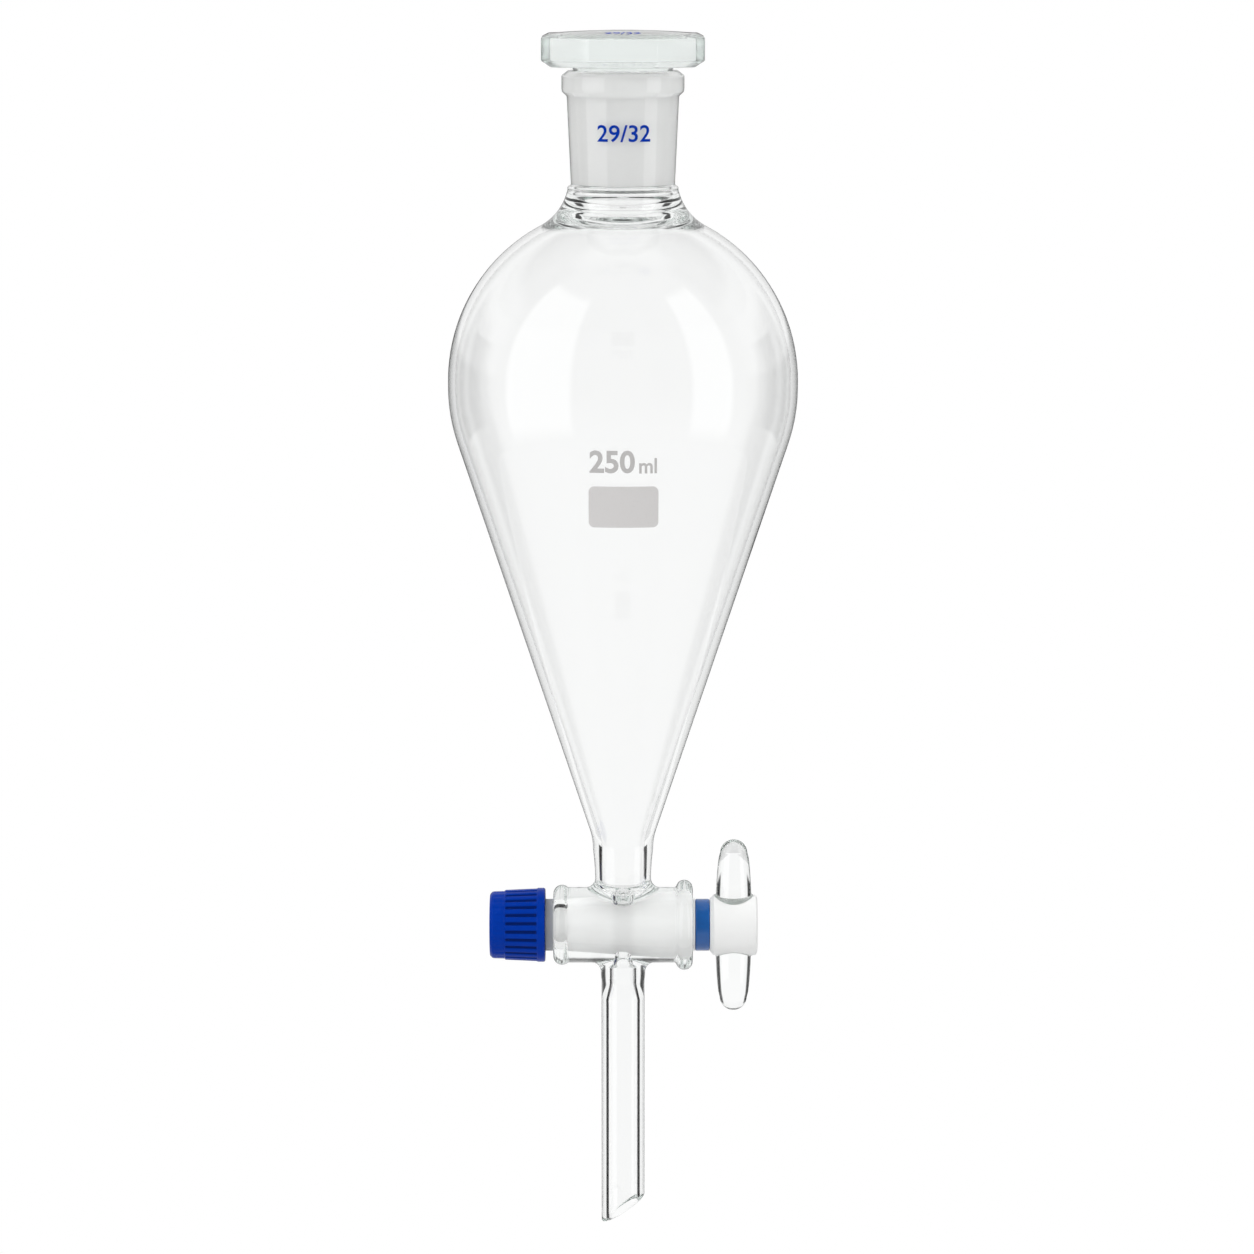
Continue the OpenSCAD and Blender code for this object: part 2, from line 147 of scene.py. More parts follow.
# Half of a lying barrel from x0 to x1, between the edge of a hole and its own outline.
# The hole is a list of (x, y) and radius(x) gives the barrel's radius
def plate(bm, hole, radius, x0, x1, side, rows=12, mat=0):
    q = around // 6
    edge = [(x1, i / q * 90) for i in range(q)]
    edge += [(x1 + (x0 - x1) * i / q, 90) for i in range(q)]
    edge += [(x0, 90 - i / q * 90) for i in range(2 * q)]
    edge += [(x0 + (x1 - x0) * i / q, -90) for i in range(q)]
    edge += [(x1, i / q * 90 - 90) for i in range(q)]
    loops = []
    for k in range(rows + 1):
        s = (k / rows) ** 1.4  # narrow rows at the hole, wide ones at the outline
        loop = []
        for (hx, hy), (ex, turn) in zip(hole, edge):
            lean = math.asin(max(-1, min(1, hy / radius(hx))))
            x = hx + (ex - hx) * s
            a = lean + (math.radians(turn) - lean) * s
            loop.append((x, radius(x) * math.sin(a), radius(x) * math.cos(a) * side))
        loops.append(loop)
    woven(bm, loops, mat)


# Height above the stopcock's axis and distance from the funnel's own axis
def spotOf(face):
    c = face.calc_center_median()
    return c.z / mm - axisZ, math.hypot(c.x, c.y) / mm


def finished(bm, name, body, materials, stands=(), weld=0.004):
    bmesh.ops.remove_doubles(bm, verts=bm.verts, dist=weld * mm)
    bmesh.ops.dissolve_degenerate(bm, edges=bm.edges, dist=0.0005 * mm)
    bmesh.ops.recalc_face_normals(bm, faces=bm.faces)
    for f in bm.faces:
        f.smooth = True
    openEdges = sum(1 for e in bm.edges if not e.is_manifold)
    mesh = bpy.data.meshes.new(name)
    bm.to_mesh(mesh)
    bm.free()
    obj = bpy.data.objects.new(name, mesh)
    bpy.context.scene.collection.objects.link(obj)
    for m in materials:
        mesh.materials.append(m)
    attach(obj, body)
    if stands:
        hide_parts(*stands)
    tris = sum(len(p.vertices) - 2 for p in mesh.polygons)
    print("piece", name, "tris", tris, "open edges", openEdges)
    return obj


def emptyMaterial(name):
    m = bpy.data.materials.new(name)
    m.use_nodes = True
    tree = m.node_tree
    return m, tree, tree.nodes["Principled BSDF"]


def group(name, outputs, inputs=()):
    tree = bpy.data.node_groups.new(name, "ShaderNodeTree")
    for label, kind, value in inputs:
        socket = tree.interface.new_socket(label, in_out="INPUT", socket_type=kind)
        socket.default_value = value
    for label, kind in outputs:
        tree.interface.new_socket(label, in_out="OUTPUT", socket_type=kind)
    return tree, tree.nodes.new("NodeGroupInput"), tree.nodes.new("NodeGroupOutput")


def node(tree, kind, **facts):
    n = tree.nodes.new(kind)
    for label, value in facts.items():
        if label in n.bl_rna.properties:
            setattr(n, label, value)
        else:
            n.inputs[label.replace("_", " ")].default_value = value
    return n


# Links a socket, or sets a plain value
def feed(tree, value, socket):
    if isinstance(value, bpy.types.NodeSocket):
        tree.links.new(value, socket)
    else:
        socket.default_value = value


def maths(tree, operation, *values):
    n = node(tree, "ShaderNodeMath", operation=operation)
    for value, socket in zip(values, n.inputs):
        feed(tree, value, socket)
    return n.outputs[0]


def mixed(tree, factor, a, b, kind="RGBA", **facts):
    n = node(tree, "ShaderNodeMix", data_type=kind, **facts)
    for label, value in (("Factor", factor), ("A", a), ("B", b)):
        feed(tree, value, n.inputs[label])
    return n.outputs["Result"]


def ramp(tree, source, low, high, start=0.0, end=1.0):
    n = node(tree, "ShaderNodeMapRange", interpolation_type="SMOOTHSTEP")
    for label, value in (("From Min", low), ("From Max", high), ("To Min", start), ("To Max", end)):
        n.inputs[label].default_value = value
    tree.links.new(source, n.inputs["Value"])
    return n.outputs["Result"]


# X, Y and Z of a point on the piece
def objectParts(tree):
    where = node(tree, "ShaderNodeTexCoord")
    parts = node(tree, "ShaderNodeSeparateXYZ")
    tree.links.new(where.outputs["Object"], parts.inputs[0])
    return parts.outputs


marksLook = dict(slow=dict(Scale=45.0, Detail=5.0, Roughness=0.6), smudge=(0.45, 0.7),
                 fine=dict(Scale=1600.0, Detail=2.0, Roughness=0.5), speck=(0.62, 0.75))


# Smudges and dust: a slow mask for handling marks and a fine one for specks
def wearGroup():
    tree, ins, outs = group("wear", [("Smudge", "NodeSocketFloat"), ("Speck", "NodeSocketFloat")],
                            [("Scale", "NodeSocketFloat", 1.0)])
    where = node(tree, "ShaderNodeTexCoord")
    scaled = node(tree, "ShaderNodeVectorMath", operation="SCALE")
    tree.links.new(where.outputs["Object"], scaled.inputs[0])
    tree.links.new(ins.outputs["Scale"], scaled.inputs["Scale"])
    for noise, label, limits in (("slow", "Smudge", marksLook["smudge"]),
                                 ("fine", "Speck", marksLook["speck"])):
        n = node(tree, "ShaderNodeTexNoise", **marksLook[noise])
        tree.links.new(scaled.outputs[0], n.inputs["Vector"])
        tree.links.new(ramp(tree, n.outputs["Fac"], *limits), outs.inputs[label])
    return tree


wear = wearGroup()


def worn(tree, scale=1.0):
    n = tree.nodes.new("ShaderNodeGroup")
    n.node_tree = wear
    n.inputs["Scale"].default_value = scale
    return n


def bump(tree, shader, scale, strength, distance, detail=2.0):
    where = node(tree, "ShaderNodeTexCoord")
    noise = node(tree, "ShaderNodeTexNoise", Scale=scale, Detail=detail)
    tree.links.new(where.outputs["Object"], noise.inputs["Vector"])
    b = node(tree, "ShaderNodeBump", Strength=strength, Distance=distance)
    tree.links.new(noise.outputs["Fac"], b.inputs["Height"])
    tree.links.new(b.outputs["Normal"], shader.inputs["Normal"])


# edge is the share of its tint that glass keeps where it is seen along its surface: painted shade
# that darkens the glass's outlines
glassLook = dict(ior=1.474, tint=(0.976, 0.978, 0.977), absorb=(0.93, 0.962, 0.95), density=22.0,
                 edge=0.25, edgeFrom=(0.7, 0.97), smudged=0.018, groundRough=(0.45, 0.36),
                 boreShade=0.9)


def soak(tree, density):
    volume = node(tree, "ShaderNodeVolumeAbsorption", Density=density)
    volume.inputs["Color"].default_value = (*glassLook["absorb"], 1)
    tree.links.new(volume.outputs["Volume"], tree.nodes["Material Output"].inputs["Volume"])


def clearGlass(name, wave=0.06, density=glassLook["density"], clear=1.0, tint=glassLook["tint"]):
    look = glassLook
    m, tree, shader = emptyMaterial(name)
    shader.inputs["IOR"].default_value = look["ior"]
    shader.inputs["Transmission Weight"].default_value = clear
    # Painted shade: the glass's tint darkens where it is seen along its surface
    facing = node(tree, "ShaderNodeLayerWeight", Blend=0.5)
    rim = ramp(tree, facing.outputs["Facing"], *look["edgeFrom"])
    colour = mixed(tree, rim, (*tint, 1), (*[c * look["edge"] for c in tint], 1))
    tree.links.new(colour, shader.inputs["Base Color"])
    rough = ramp(tree, worn(tree).outputs["Smudge"], 0, 1, 0.0, look["smudged"])
    tree.links.new(rough, shader.inputs["Roughness"])
    bump(tree, shader, 38.0, wave, 0.0004, 1.0)
    soak(tree, density)
    return m


# Ground glass scatters most light at its surface: share is what still passes through.
# shadow is the half width of a painted shade stripe, darker where a cross bore lies behind it
def groundGlass(name, tint, share, shadow=0.0):
    look = glassLook
    m, tree, shader = emptyMaterial(name)
    shader.inputs["IOR"].default_value = look["ior"]
    shader.inputs["Transmission Weight"].default_value = share
    smudge = worn(tree, 1.6).outputs["Smudge"]
    colour = mixed(tree, smudge, (tint, tint, tint * 0.995, 1),
                   (tint * 0.985, tint * 0.985, tint * 0.98, 1))
    # Painted shade: a darker upright stripe on the ground glass where the cross bore lies behind it
    if shadow:
        off = maths(tree, "ABSOLUTE", objectParts(tree)["X"])
        stripe = ramp(tree, off, shadow * 1.9 * mm, shadow * 0.5 * mm)
        shade = look["boreShade"]
        colour = mixed(tree, stripe, colour, (shade, shade, shade, 1), blend_type="MULTIPLY")
    tree.links.new(colour, shader.inputs["Base Color"])
    tree.links.new(ramp(tree, smudge, 0, 1, *look["groundRough"]), shader.inputs["Roughness"])
    bump(tree, shader, 5200.0, 0.35, 0.00004, 3.0)
    soak(tree, look["density"])
    return m


# Vessel: the glass body above the stopcock. The bulb is an upper and a lower sphere with a
# short belt between them, and the lower one runs into the cone
vessel = dict(outer=52, inner=50, lowZ=163.5, highZ=165.5, lean=18.505, innerLean=18.714,
              shoulder=61.776, innerShoulder=73.86, coneZ=147.0, coneR=49.311, rimZ=257.11)
glass = dict(stem=8.4, bore=6.45, barrel=11.4, fillet=3.1, wallZ=15.0, plateEnd=15.0,
             outletRoot=6.7, outlet=6.5, outletBore=4.45, throat=3.2, port=2.5, portEnd=-9.6,
             floor=11.1, floorRound=1.5, floorZ=13.4, tipZ=-70, tipLength=22.8, tipSlant=33,
             seatEnd=21.05, seatBig=7.25, seatLip=20.6, lipRise=0.12,
             socketZ=(223.9, 255.5), socketReach=14.75, groundFrom=-16.9)


# The seat narrows by 1 in 10 of its diameter towards the nut
def seatRadius(x):
    return glass["seatBig"] - (glass["seatEnd"] - x) / 20


def vesselOutside():
    v = vessel
    bend = [(8.4, 15.0), (8.47, 17.0), (8.68, 20.0)] + arc(29.05, 23.44, 20, 180, 161.495, 8)
    dome = arc(0, v["lowZ"], v["outer"], -v["lean"], 0, 8)
    dome += arc(0, v["highZ"], v["outer"], 0, v["shoulder"], 26)
    shoulder = arc(32.3, 225.68, 16.3, 241.776, 192.3, 16)[1:]
    collar = rounded([shoulder[-1], (16.45, 222.7, 0.5), (16.0, 223.3, 0.4), (15.35, 223.45, 0.5),
                      (15.4, 224.6, 2.0), (16.56, 249.6, 0.9), (17.95, 250.9, 0.5),
                      (18.1, 251.7, 0.6), (18.1, 255.7, 0.7), (16.3, 257.05, 0.7),
                      (15.15, v["rimZ"])], 4)[1:]
    cone = spaced([bend[-1], dome[0]], 4)[1:]
    return spaced(bend) + cone + dome[1:] + shoulder + spaced(collar)


def vesselInside():
    v, bore = vessel, glass["bore"]
    mouth = rounded([(15.15, v["rimZ"]), (15.0, v["rimZ"], 0.25), (14.62, 255.66, 0.3),
                     (13.02, 223.6, 0.5), *arc(9.7, 219.9, 4.75, 44, -48, 14),
                     (12.2, 214.7, 1.3), (13.9, 213.53)], 6)
    dome = arc(0, v["highZ"], v["inner"], v["innerShoulder"], 0, 30)
    dome += arc(0, v["lowZ"], v["inner"], 0, -v["innerLean"], 8)
    foot = rounded([dome[-1], (bore, 26.7, 20), (bore, glass["floorZ"])], 10)[1:]
    return spaced(mouth) + dome[1:] + spaced([dome[-1], foot[0]], 4)[1:] + spaced(foot)[1:]


# Slants the outlet's last stretch so that its end is an oblique plane
def sheared(profile):
    g = glass
    loops = []
    for r, s in profile:
        loop = []
        for x, y in circle(r):
            deep = g["tipLength"] - (x + g["outlet"]) * math.tan(math.radians(g["tipSlant"]))
            loop.append((x, y, g["tipZ"] - s * deep / g["tipLength"]))
        loops.append(loop)
    return loops


# The seat's edge, rounded into the barrel's end from the given radius
def seatMouth(sign, radius):
    g = glass
    end = g["seatEnd"]
    return [(end, radius, 0.2), (20.95, seatRadius(sign * 20.95) + g["lipRise"], 0.2),
            (g["seatLip"], seatRadius(sign * g["seatLip"]))]


def buildGlass():
    g = glass
    lip = g["seatLip"]
    bm = bmesh.new()
    turned(bm, vesselOutside())
    turned(bm, vesselInside())
    # Fused fillets, and the tube walls between them and the first round loop
    for tube, side in ((g["stem"], 1), (g["outletRoot"], -1)):
        loops = saddle(tube, g["barrel"], g["fillet"], side)
        ring = [(x, y, g["wallZ"] * side) for x, y in circle(tube)]
        first = loops[0]
        for k in (1, 2):
            loops.insert(0, [tuple(p[n] + (q[n] - p[n]) * k / 3 for n in range(3))
                             for p, q in zip(first, ring)])
        loops.insert(0, ring)
        woven(bm, loops)
        hole = [(p[0], p[1]) for p in loops[-1]]
        plate(bm, hole, lambda x: g["barrel"], -g["plateEnd"], g["plateEnd"], side)
    # Bead at the nut end and flange at the handle end
    bead = [(15.0, 11.4), (16.1, 11.4), (16.55, 11.42, 0.5)] + arc(18.45, 9.5, 2.6, 133, 0, 12)
    bead = rounded(bead + seatMouth(-1, 6.0))
    flange = [(15.0, 11.4), (15.7, 11.4, 0.4)] + arc(18.55, 11.1, 2.5, 165, 0, 14)
    flange = rounded(flange + seatMouth(1, 8.0))
    turned(bm, spaced([(-x, r) for x, r in bead]), "x", 96)
    turned(bm, spaced(flange), "x", 96)
    # Ground seat with the ports to stem and outlet
    port = circle(g["port"])
    for side in (1, -1):
        plate(bm, port, seatRadius, -lip, lip, side, 16, 1)
    # Floor of the stem: the barrel's own back, rounded into the bore, with the port through it
    loops = [[(x, y, g["floorZ"]) for x, y in circle(g["bore"])]]
    loops += saddle(g["bore"], g["floor"], g["floorRound"], 1, -1, 6)
    last = loops[-1]
    for k in range(1, 7):
        s = k / 6
        plan = [(p[0] + (q[0] - p[0]) * s, p[1] + (q[1] - p[1]) * s) for p, q in zip(last, port)]
        loops.append([(x, y, math.sqrt(g["floor"] ** 2 - y * y)) for x, y in plan])
    edge = loops[-1]
    seat = [(x, y, math.sqrt(seatRadius(x) ** 2 - y * y)) for x, y in port]
    for k in range(1, 5):
        loops.append([(p[0], p[1], p[2] + (q[2] - p[2]) * k / 4) for p, q in zip(edge, seat)])
    woven(bm, loops)
    woven(bm, [[(x, y, -z) for x, y, z in seat], [(x, y, g["portEnd"]) for x, y in port]])
    bore = rounded([(g["port"], g["portEnd"]), (g["port"], -11.4, 1), (g["throat"], -12.6, 1),
                    (g["throat"], -17.9, 6), (g["outletBore"], -22.8, 6),
                    (g["outletBore"], g["tipZ"])], 8)
    turned(bm, spaced(bore, 2.5))
    tube = rounded([(g["outletRoot"], -15), (6.68, -15.6, 1), (g["outlet"], -17, 2),
                    (g["outlet"], g["tipZ"])])
    turned(bm, spaced(tube, 3))
    tip = rounded([(g["outlet"], 0), (g["outlet"], g["tipLength"], 0.9),
                   (g["outletBore"], g["tipLength"], 0.3), (g["outletBore"], 0)], 7)
    woven(bm, sheared(spaced(tip, 2)))
    # Frosting: 1 in the socket and 2 in the seat, which stays clear at the nut end
    for f in bm.faces:
        z, r = spotOf(f)
        if g["socketZ"][0] < z < g["socketZ"][1] and r < g["socketReach"]:
            f.material_index = 1
        elif f.material_index == 1:
            f.material_index = 2 if f.calc_center_median().x > g["groundFrom"] * mm else 0
    return bm


clear = clearGlass("clearGlass")
# One ground-glass finish in copies: the socket's lower tint is painted shade, so that it looks
# darker than the seat
groundSocket = groundGlass("groundSocket", 0.915, 0.12)
groundSeat = groundGlass("groundSeat", 0.99, 0.1, shadow=2.5)
finished(buildGlass(), "glassBody", "glass", [clear, groundSocket, groundSeat],
         ["glass_body"])
print("stage: glass body done")

# The head is an octagon of half width half, and plugR is where the plug leaves it.
# Its top rises to crown over the share domed of its squared half width
stopper = dict(half=23.95, chamfer=2.9, rise=1.9, headZ=258.31, headH=10.56, round=0.3, crown=0.9,
               rings=10, topEdge=0.9, domed=0.85, plugR=17.2, hollowR=10.34, hollowZ=242.77,
               groundZ=(223.8, 256.6), groundFrom=12.0)


def buildStopper():
    s = stopper
    bm = bmesh.new()
    inset = s["half"] - s["chamfer"]
    levels = [(inset, 0), (s["half"], s["rise"]), (s["half"], s["headH"] - s["rise"]),
              (inset + s["topEdge"], s["headH"] - s["crown"])]
    corners = [math.pi / 8 + math.pi / 4 * i for i in range(8)]
    loops = []
    for half, z in levels:
        r = half / math.cos(math.pi / 8)
        loops.append([(r * math.cos(t), r * math.sin(t), s["headZ"] + z) for t in corners])
    woven(bm, loops)
    bmesh.ops.holes_fill(bm, edges=bm.edges)
    bmesh.ops.recalc_face_normals(bm, faces=bm.faces)
    bmesh.ops.bevel(bm, geom=list(bm.edges), offset=s["round"] * mm, offset_type="OFFSET",
                    segments=3, profile=0.5, affect="EDGES", material=-1)
    top = max(bm.faces, key=lambda f: f.calc_center_median().z)
    level = top.calc_center_median().z
    for k in range(s["rings"]):
        bmesh.ops.inset_region(bm, faces=[top], thickness=inset / (s["rings"] + 1) * mm)
    for v in bm.verts:
        if abs(v.co.z - level) < 1e-7:
            reach = math.hypot(v.co.x, v.co.y) / mm / s["half"]
            v.co.z += s["crown"] * mm * max(0.0, s["domed"] - reach ** 2) / s["domed"]
    bottom = min(bm.faces, key=lambda f: f.calc_center_median().z)
    bmesh.ops.delete(bm, geom=[bottom], context="FACES_ONLY")
    # Plug, hollow from below
    profile = rounded([(s["plugR"], s["headZ"]), (15.15, s["headZ"], 0.5), (14.78, 257.6, 0.8),
                       (14.63, 257.11, 1), (12.96, 223.5, 0.7), (12.5, 223.18, 0.5),
                       (10.9, 223.18, 0.6), (s["hollowR"], 224.6, 1), (s["hollowR"], s["hollowZ"])])
    roof = arc(0, s["hollowZ"], s["hollowR"], 0, 90, 14)[1:]
    turned(bm, spaced(profile + roof), "z", 96)
    bmesh.ops.remove_doubles(bm, verts=bm.verts, dist=0.003 * mm)
    foot = place(0, 0, s["headZ"]).z
    rim = [e for e in bm.edges if e.is_boundary]
    collar = [e for e in rim if all(abs(v.co.z - foot) < 1e-6 and
              abs(math.hypot(v.co.x, v.co.y) - s["plugR"] * mm) < 2e-5 for v in e.verts)]
    outline = [e for e in rim if e not in collar]
    bmesh.ops.bridge_loops(bm, edges=outline + collar)
    for f in bm.faces:
        z, r = spotOf(f)
        if s["groundZ"][0] < z < s["groundZ"][1] and r > s["groundFrom"]:
            f.material_index = 1
    return bm


stopperBody = buildStopper()
stopperClear = clearGlass("stopperGlass", 0.1, 30.0, 0.9, (0.93, 0.935, 0.932))
stopperGround = groundGlass("groundPlug", 0.97, 0.2)
finished(stopperBody, "stopperGlass", "stopper", [stopperClear, stopperGround],
         ["stopper"])
print("stage: stopper done")

key = dict(bore=2.0, gap=0.04, coneFrom=-20.4, coneTo=21.0, foot=-20.55, hub=9.2, hubFrom=27.45,
           hubTo=39.45, arm=5.3, armFillet=0.7, armX=33.45, armRoot=10.3, thread=4.8,
           threadEnd=-36.9, end=-37.55, pitch=2.0, tooth=0.55, fade=0.8, threadStep=0.2)


def coneRadius(x):
    return seatRadius(x) - key["gap"]


# Rounded screw thread: crest at the given radius, cut inwards (way 1) or outwards (way -1)
def threaded(crest, x0, x1, steps, way=1):
    k = key
    loops = []
    rows = int(abs(x1 - x0) / k["threadStep"])
    for row in range(rows + 1):
        x = x0 + (x1 - x0) * row / rows
        ends = min(1, abs(x - x0) / k["fade"], abs(x - x1) / k["fade"])
        loop = []
        for t in angles(steps):
            wave = (math.cos(2 * math.pi * x / k["pitch"] + t) + 1) / 2
            r = crest - way * k["tooth"] * wave ** 0.8 * ends
            loop.append((x, r * math.sin(t), r * math.cos(t)))
        loops.append(loop)
    return loops


def buildKey():
    k = key
    start, stop, foot, end = k["coneFrom"], k["coneTo"], k["foot"], k["end"]
    bm = bmesh.new()
    woven(bm, threaded(k["thread"], foot, k["threadEnd"], 96))
    turned(bm, rounded([(k["threadEnd"], k["thread"]), (-37.3, 4.7, 0.2), (end, 4.1, 0.3),
                        (end, 0.0)]), "x", 96)
    turned(bm, rounded([(foot, k["thread"]), (foot, 4.95, 0.1), (start, coneRadius(start))]),
           "x", 96)
    # Ground cone with the cross bore
    hole = circle(k["bore"])
    for side in (1, -1):
        plate(bm, hole, coneRadius, start, stop, side, 16)
    top = [(x, y, math.sqrt(coneRadius(x) ** 2 - y * y)) for x, y in hole]
    woven(bm, [[(x, y, z * (1 - j / 6)) for x, y, z in top] for j in range(13)])
    # Collar, groove for the band, hub and its domed end
    neck = rounded([(stop, coneRadius(stop)), (21.25, 7.25, 0.1), (21.32, 7.85, 0.1),
                    (21.7, 7.95, 0.1), (21.75, 6.85, 0.05), (26.25, 6.85, 0.1), (26.3, 7.9, 0.2),
                    (27.3, 9.0, 1.2), (k["hubFrom"], k["hub"])], 4)
    turned(bm, spaced(neck), "x", 96)
    cap = rounded([(k["hubTo"], k["hub"]), (40.1, 9.15, 0.8), (40.6, 8.2, 0.9), (40.65, 4, 4),
                   (40.65, 0)], 6)
    turned(bm, spaced(cap), "x", 96)
    # Handle arms
    arm = [(k["arm"], k["armRoot"]), (5.2, 12.5), (5.02, 15.5), (4.78, 18.5), (4.5, 20.8)]
    arm += arc(0, 22.2, 4.1, 2, 90, 14)
    for side in (1, -1):
        loops = saddle(k["arm"], k["hub"], k["armFillet"], side, 1, 6, k["armX"])
        hole = [(p[0], p[1]) for p in loops[-1]]
        plate(bm, hole, lambda x: k["hub"], k["hubFrom"], k["hubTo"], side, 8)
        ring = [(x, y, k["armRoot"] * side) for x, y in circle(k["arm"], k["armX"])]
        woven(bm, [ring] + loops, 1)
        turned(bm, [(r, z * side) for r, z in spaced(arm, 1.5)], "z", around, 1, k["armX"])
    return bm


# The key's lower ground-glass tint is painted shade
keyGround = groundGlass("groundKey", 0.93, 0.2)
keyClear = clearGlass("handleGlass", 0.12)
finished(buildKey(), "keyGlass", "key", [keyGround, keyClear], ["stopcock_key"])
print("stage: key done")

# skin is the line of the nut's ribs, and deep is the depth at which its grooves are fully darkened
# by painted shade; shade is the share of the colour kept there
nut = dict(ribs=26, perRib=12, ribR=10.8, depth=0.5, halfWidth=0.62, start=-35.55, end=-25.95,
           faint=0.1, faintFrom=(-39.6, -38.6), face=-23.55, back=-40.25, seat=-25.85,
           thread=4.86, threadEnd=-37.9, shade=0.4,
           skin=dict(start=-35.6, radius=10.55, spread=0.0442, shallow=0.08, deep=0.4))


# Mask of the painted shade in the nut's grooves: 1 deep in the grooves and 0 on its ribs and on its
# smooth end
def grooveShadeMask(tree):
    skin = nut["skin"]
    parts = objectParts(tree)
    across = node(tree, "ShaderNodeCombineXYZ")
    tree.links.new(parts["Y"], across.inputs["Y"])
    tree.links.new(maths(tree, "SUBTRACT", parts["Z"], axisZ * mm), across.inputs["Z"])
    radius = node(tree, "ShaderNodeVectorMath", operation="LENGTH")
    tree.links.new(across.outputs[0], radius.inputs[0])
    rib = maths(tree, "MULTIPLY_ADD", parts["X"], skin["spread"],
                (skin["radius"] - skin["start"] * skin["spread"]) * mm)
    depth = maths(tree, "SUBTRACT", rib, radius.outputs["Value"])
    grooved = ramp(tree, depth, skin["shallow"] * mm, skin["deep"] * mm)
    ribbed = ramp(tree, parts["X"], (skin["start"] - 0.1) * mm, (skin["start"] + 0.1) * mm)
    return maths(tree, "MULTIPLY", grooved, ribbed)


def plastic(name, colour, shade, rough, grain, clear=0.0, gloss=0.5, grooves=0.0):
    m, tree, shader = emptyMaterial(name)
    shader.inputs["Specular IOR Level"].default_value = gloss
    smudge = worn(tree, 2.0).outputs["Smudge"]
    tone = mixed(tree, smudge, (*colour, 1), (*shade, 1))
    # Painted shade: the colour darkens deep in the grooves by the factor grooves
    if grooves:
        tone = mixed(tree, grooveShadeMask(tree), tone, (*[c * grooves for c in colour], 1))
    tree.links.new(tone, shader.inputs["Base Color"])
    tree.links.new(ramp(tree, smudge, 0, 1, rough, rough + 0.12), shader.inputs["Roughness"])
    shader.inputs["Subsurface Weight"].default_value = clear
    shader.inputs["Subsurface Radius"].default_value = (0.001, 0.0012, 0.002)
    shader.inputs["Subsurface Scale"].default_value = 1.0
    bump(tree, shader, grain, 0.12, 0.00005)
    return m


bandBlue = plastic("bandPlastic", (0.0, 0.08, 0.31), (0.001, 0.095, 0.34), 0.14, 700.0, gloss=0.6)
washerWhite = plastic("washerPlastic", (0.36, 0.375, 0.41), (0.42, 0.43, 0.46), 0.42, 1500.0,
                      clear=0.2)
sealRubber = plastic("sealRubber", (0.012, 0.012, 0.012), (0.03, 0.03, 0.03), 0.5, 1800.0)
# The nut's grooves carry painted shade
nutBlue = plastic("nutPlastic", (0.0, 0.031, 0.31), (0.0, 0.036, 0.35), 0.2, 1300.0, gloss=0.05,
                  grooves=nut["shade"])

band = dict(start=21.8, end=26.2, inner=6.88, outer=7.85, round=0.7, steps=8)
washer = dict(start=-23.55, end=-21.05, inner=4.85, outer=7.85, round=0.3, steps=4)


# A flat ring with its two outer edges rounded
def flatRing(r):
    bm = bmesh.new()
    section = [(r["start"], r["inner"]), (r["start"], r["outer"], r["round"]),
               (r["end"], r["outer"], r["round"]), (r["end"], r["inner"]),
               (r["start"], r["inner"])]
    turned(bm, spaced(rounded(section, r["steps"]), 1), "x", 128)
    return bm


finished(flatRing(band), "keyBand", "key", [bandBlue], ["key_band"])
finished(flatRing(washer), "slipWasher", "washer", [washerWhite],
         ["ptfe_washer"])


def ease(x, a, b):
    s = max(0.0, min(1.0, (x - a) / (b - a)))
    return s * s * (3 - 2 * s)


# One round of the nut's skin at x, with the grooves cut into radius r
def nutLoop(x, r):
    n = nut
    start, end = n["start"], n["end"]
    deep = n["depth"] * ease(x, start - 0.15, start + 0.3) * (1 - ease(x, end - 0.3, end + 0.15))
    deep += n["faint"] * ease(x, *n["faintFrom"]) * (1 - ease(x, start - 0.4, start))
    loop = []
    for i, t in enumerate(angles(n["ribs"] * n["perRib"])):
        share = (i % n["perRib"]) / n["perRib"] - 0.5
        off = share * 2 * math.pi * n["ribR"] / n["ribs"]
        groove = max(0.0, 1 - (off / n["halfWidth"]) ** 2) ** 0.6
        rr = r - deep * groove
        loop.append((x, rr * math.sin(t), rr * math.cos(t)))
    return loop


def buildNut():
    n = nut
    steps, face, back, seat = n["ribs"] * n["perRib"], n["face"], n["back"], n["seat"]
    bm = bmesh.new()
    outside = rounded([(back, 8.2), (back, 9.2, 0.5), (-39.5, 10.1, 1.1), (-35.85, 10.2, 0.3),
                       (-35.6, 10.55, 0.3), (-26.1, 10.97, 0.2), (-25.7, 11.18, 0.2),
                       (-23.9, 11.2, 0.3), (face, 10.85)], 4)
    woven(bm, [nutLoop(x, r) for x, r in spaced(outside, 0.4)])
    cap = rounded([(back, 8.2), (-40.0, 7.6, 0.4), (-39.95, 3, 1), (-39.95, 0)])
    turned(bm, spaced(cap, 2), "x", steps)
    inside = rounded([(face, 10.85), (face, 7.3, 0.2), (-23.57, 7.15, 0.1), (seat, 7.15, 0.2),
                      (seat, n["thread"])])
    turned(bm, spaced(inside, 2), "x", steps)
    woven(bm, threaded(n["thread"], seat, n["threadEnd"], steps, -1))
    turned(bm, rounded([(n["threadEnd"], n["thread"]), (-38.25, 4.5, 0.3), (-38.25, 0)]), "x",
           steps)
    return bm


finished(buildNut(), "screwNut", "nut", [nutBlue], ["retaining_nut"])
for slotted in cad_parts["o_ring"].material_slots:
    slotted.material = sealRubber
print("stage: small parts done")


